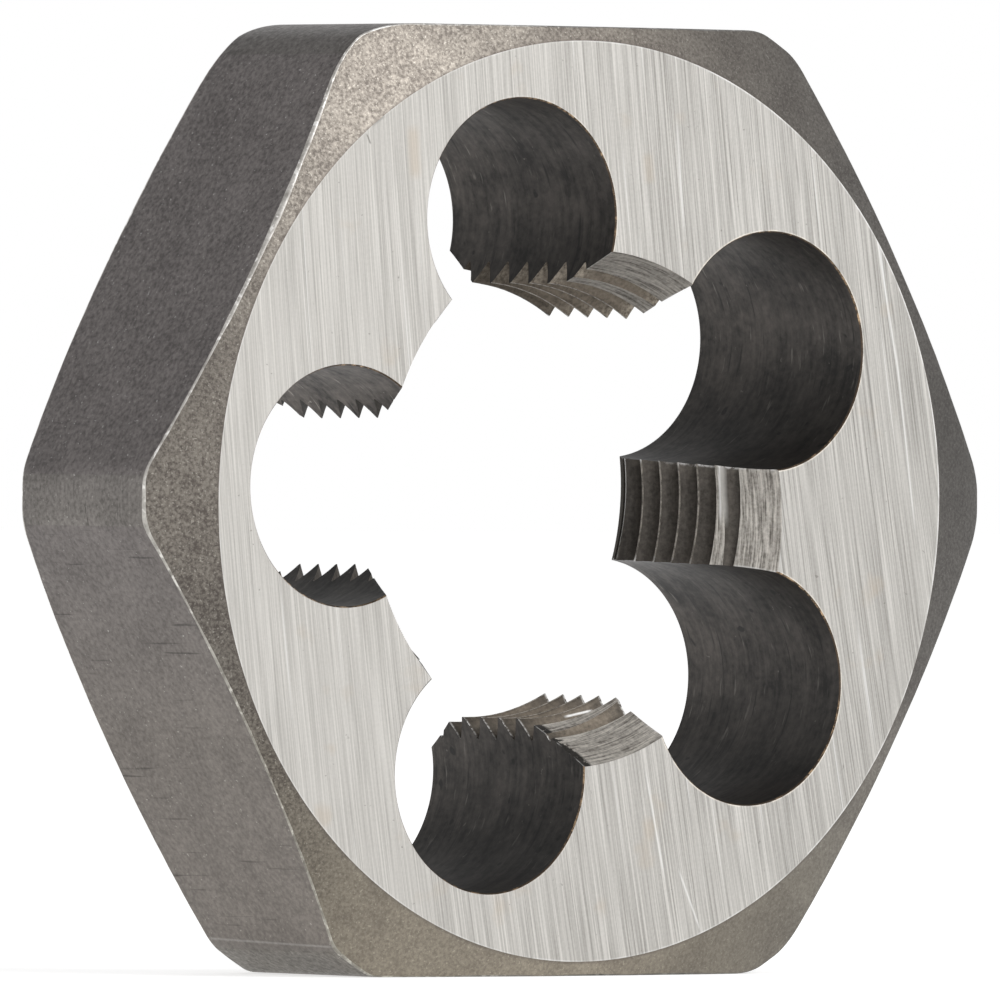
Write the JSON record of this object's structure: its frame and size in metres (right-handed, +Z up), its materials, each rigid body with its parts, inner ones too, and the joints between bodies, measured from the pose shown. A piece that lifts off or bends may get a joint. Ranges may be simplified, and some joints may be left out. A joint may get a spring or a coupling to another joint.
{
  "type": "hexagon threading die",
  "caption": "Hexagon threading die: a right-hand threaded bore opened by round chip holes into cutting lands, with tapered leads and turned corners.",
  "frame": {"origin": "on the thread's axis, midway between the two faces", "axes": "+Y from the leading face towards the back face, along the thread's axis; +X across two corners of the hexagon; +Z up, square to the top flat"},
  "size_m": [0.0535, 0.0126, 0.0476],
  "materials": {
    "tool_steel": "bright ground faces with fine straight grinding lines; dark grey-brown heat-treated flats, facings, chip holes and thread"
  },
  "bodies": {
    "root": {"hex_die": "tool_steel"}
  },
  "joints": []
}
